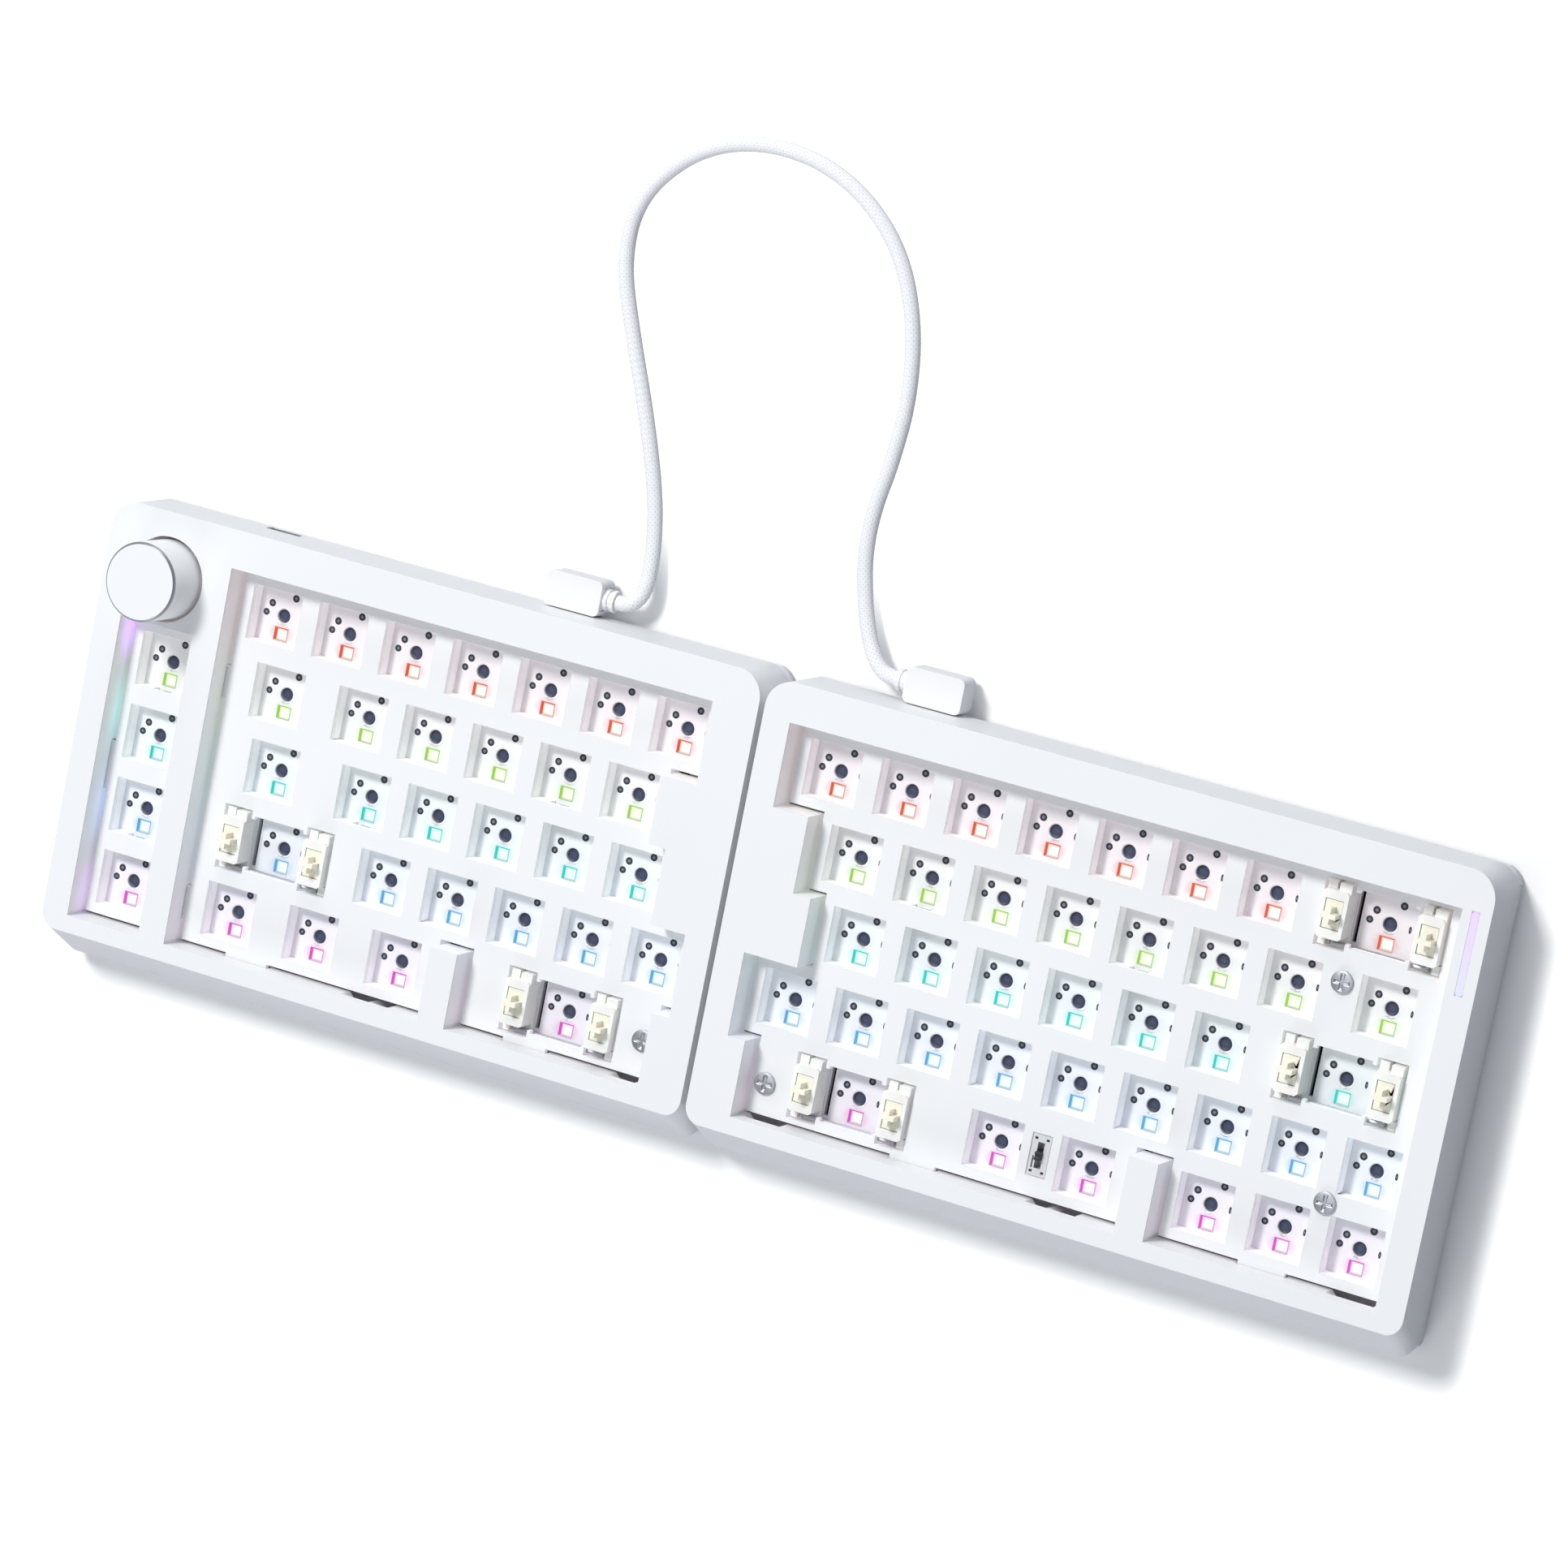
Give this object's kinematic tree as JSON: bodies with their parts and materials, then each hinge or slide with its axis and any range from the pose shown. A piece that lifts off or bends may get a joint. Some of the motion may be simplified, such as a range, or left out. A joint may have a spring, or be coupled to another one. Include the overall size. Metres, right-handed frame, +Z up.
{
  "type": "split mechanical keyboard kit",
  "caption": "Split barebones keyboard in white, two cases with open switch plates, stabilisers, a turning knob, fold-out feet and a braided bridge cable.",
  "frame": {"origin": "centre of the two halves' footprint on the desk, without the bridge cable and its plugs, at the underside of the rubber feet", "axes": "+X to the typist's right, +Y away from the typist towards the ports, +Z up"},
  "size_m": [0.3726, 0.242, 0.0337],
  "materials": {
    "case_shell": "satin white moulded plastic",
    "switch_plate": "satin white sheet",
    "circuit_board": "white solder mask",
    "led_package": "milky lens",
    "socket_plastic": "black moulded",
    "standoff_metal": "turned",
    "screw_steel": "turned, bright",
    "gasket_foam": "closed-cell foam",
    "case_foam": "open-cell foam sheet",
    "foot_rubber": "matt grey",
    "port_metal": "drawn shell",
    "encoder_case": "pressed can",
    "shaft_metal": "turned",
    "knob_metal": "white coat with a bright chamfer",
    "stabiliser_plastic": "milky cream moulded",
    "wire_steel": "drawn wire",
    "plug_plastic": "white overmould",
    "cable_braid": "white braided sleeve",
    "battery_wrap": "silver-grey wrap",
    "light_bar_lens": "diffusing lens",
    "switch_frame": "pressed frame",
    "lever_plastic": "black moulded",
    "foot_plastic": "white moulded"
  },
  "bodies": {
    "left_half": {"left_top_case": "case_shell", "left_bottom_case": "case_shell", "left_switch_plate": "switch_plate", "left_circuit_board": "circuit_board", "left_leds": "led_package", "left_switch_sockets": "socket_plastic", "left_standoffs": "standoff_metal", "left_plate_screws": "screw_steel", "left_gaskets": "gasket_foam", "left_case_foam": "case_foam", "left_rubber_feet": "foot_rubber", "left_case_screws": "screw_steel", "left_bridge_port": "port_metal", "host_port": "port_metal", "encoder_body": "encoder_case", "left_shift_stab_housings": "stabiliser_plastic", "left_space_stab_housings": "stabiliser_plastic", "left_cable_plug": "plug_plastic", "bridge_cable": "cable_braid"},
    "right_half": {"right_top_case": "case_shell", "right_bottom_case": "case_shell", "right_switch_plate": "switch_plate", "right_circuit_board": "circuit_board", "right_leds": "led_package", "right_switch_sockets": "socket_plastic", "right_standoffs": "standoff_metal", "right_plate_screws": "screw_steel", "right_gaskets": "gasket_foam", "right_case_foam": "case_foam", "right_rubber_feet": "foot_rubber", "right_case_screws": "screw_steel", "right_bridge_port": "port_metal", "right_battery": "battery_wrap", "light_bar": "light_bar_lens", "mode_switch_body": "switch_frame", "right_space_stab_housings": "stabiliser_plastic", "right_backspace_stab_housings": "stabiliser_plastic", "right_enter_stab_housings": "stabiliser_plastic", "right_cable_plug": "plug_plastic"},
    "encoder_press": {"encoder_plunger": "socket_plastic"},
    "knob": {"knob": "knob_metal", "encoder_shaft": "shaft_metal"},
    "mode_lever": {"mode_switch_lever": "lever_plastic"},
    "left_shift_stems": {"left_shift_stab_stems": "stabiliser_plastic"},
    "left_shift_wire": {"left_shift_stab_wire": "wire_steel"},
    "left_space_stems": {"left_space_stab_stems": "stabiliser_plastic"},
    "left_space_wire": {"left_space_stab_wire": "wire_steel"},
    "right_space_stems": {"right_space_stab_stems": "stabiliser_plastic"},
    "right_space_wire": {"right_space_stab_wire": "wire_steel"},
    "right_backspace_stems": {"right_backspace_stab_stems": "stabiliser_plastic"},
    "right_backspace_wire": {"right_backspace_stab_wire": "wire_steel"},
    "right_enter_stems": {"right_enter_stab_stems": "stabiliser_plastic"},
    "right_enter_wire": {"right_enter_stab_wire": "wire_steel"},
    "left_flip_foot_outer": {"left_flip_foot_outer": "foot_plastic"},
    "left_flip_foot_inner": {"left_flip_foot_inner": "foot_plastic"},
    "right_flip_foot_inner": {"right_flip_foot_inner": "foot_plastic"},
    "right_flip_foot_outer": {"right_flip_foot_outer": "foot_plastic"}
  },
  "joints": [
    {"name": "halves_apart", "type": "slide", "parent": "left_half", "child": "right_half", "axis": [1, 0, 0], "range_m": [0, 0.08], "deforming": ["bridge_cable"]},
    {"name": "knob_press", "type": "slide", "parent": "left_half", "child": "encoder_press", "axis": [0, 0, -1], "range_m": [0, 0.0005], "stiffness_N_per_m": 1500, "springref_m": -0.0008},
    {"name": "knob_turn", "type": "hinge", "parent": "encoder_press", "child": "knob", "pos_m": [-0.16854, 0.04235, 0.0235], "axis": [0, 0, 1], "continuous": true},
    {"name": "mode_slide", "type": "slide", "parent": "right_half", "child": "mode_lever", "axis": [0, 1, 0], "range_m": [-0.002, 0.002]},
    {"name": "left_shift_press", "type": "slide", "parent": "left_half", "child": "left_shift_stems", "axis": [0, 0, 1], "range_m": [0, 0.0036]},
    {"name": "left_shift_wire_swing", "type": "hinge", "parent": "left_half", "child": "left_shift_wire", "pos_m": [-0.12806, -0.0253, 0.0121], "axis": [1, 0, 0], "range_deg": [0, 26.39]},
    {"name": "left_space_press", "type": "slide", "parent": "left_half", "child": "left_space_stems", "axis": [0, 0, 1], "range_m": [0, 0.0036]},
    {"name": "left_space_wire_swing", "type": "hinge", "parent": "left_half", "child": "left_space_wire", "pos_m": [-0.04234, -0.04435, 0.0121], "axis": [1, 0, 0], "range_deg": [0, 26.39]},
    {"name": "right_space_press", "type": "slide", "parent": "right_half", "child": "right_space_stems", "axis": [0, 0, 1], "range_m": [0, 0.0036]},
    {"name": "right_space_wire_swing", "type": "hinge", "parent": "right_half", "child": "right_space_wire", "pos_m": [0.03757, -0.04435, 0.0121], "axis": [1, 0, 0], "range_deg": [0, 26.39]},
    {"name": "right_backspace_press", "type": "slide", "parent": "right_half", "child": "right_backspace_stems", "axis": [0, 0, 1], "range_m": [0, 0.0036]},
    {"name": "right_backspace_wire_swing", "type": "hinge", "parent": "right_half", "child": "right_backspace_wire", "pos_m": [0.15902, 0.03185, 0.0121], "axis": [1, 0, 0], "range_deg": [0, 26.39]},
    {"name": "right_enter_press", "type": "slide", "parent": "right_half", "child": "right_enter_stems", "axis": [0, 0, 1], "range_m": [0, 0.0036]},
    {"name": "right_enter_wire_swing", "type": "hinge", "parent": "right_half", "child": "right_enter_wire", "pos_m": [0.15664, -0.00625, 0.0121], "axis": [1, 0, 0], "range_deg": [0, 26.39]},
    {"name": "left_flip_foot_outer_open", "type": "hinge", "parent": "left_half", "child": "left_flip_foot_outer", "pos_m": [-0.16682, 0.05273, 0.0026], "axis": [1, 0, 0], "range_deg": [0, 80]},
    {"name": "left_flip_foot_inner_open", "type": "hinge", "parent": "left_half", "child": "left_flip_foot_inner", "pos_m": [-0.02263, 0.05273, 0.0026], "axis": [1, 0, 0], "range_deg": [0, 80]},
    {"name": "right_flip_foot_inner_open", "type": "hinge", "parent": "right_half", "child": "right_flip_foot_inner", "pos_m": [0.01787, 0.05273, 0.0026], "axis": [1, 0, 0], "range_deg": [0, 80]},
    {"name": "right_flip_foot_outer_open", "type": "hinge", "parent": "right_half", "child": "right_flip_foot_outer", "pos_m": [0.16682, 0.05273, 0.0026], "axis": [1, 0, 0], "range_deg": [0, 80]}
  ],
  "couplings": [
    {"joint": "left_shift_wire_swing", "follows": "left_shift_press", "rad_per_m": 127.7},
    {"joint": "left_space_wire_swing", "follows": "left_space_press", "rad_per_m": 127.7},
    {"joint": "right_space_wire_swing", "follows": "right_space_press", "rad_per_m": 127.7},
    {"joint": "right_backspace_wire_swing", "follows": "right_backspace_press", "rad_per_m": 127.7},
    {"joint": "right_enter_wire_swing", "follows": "right_enter_press", "rad_per_m": 127.7}
  ]
}
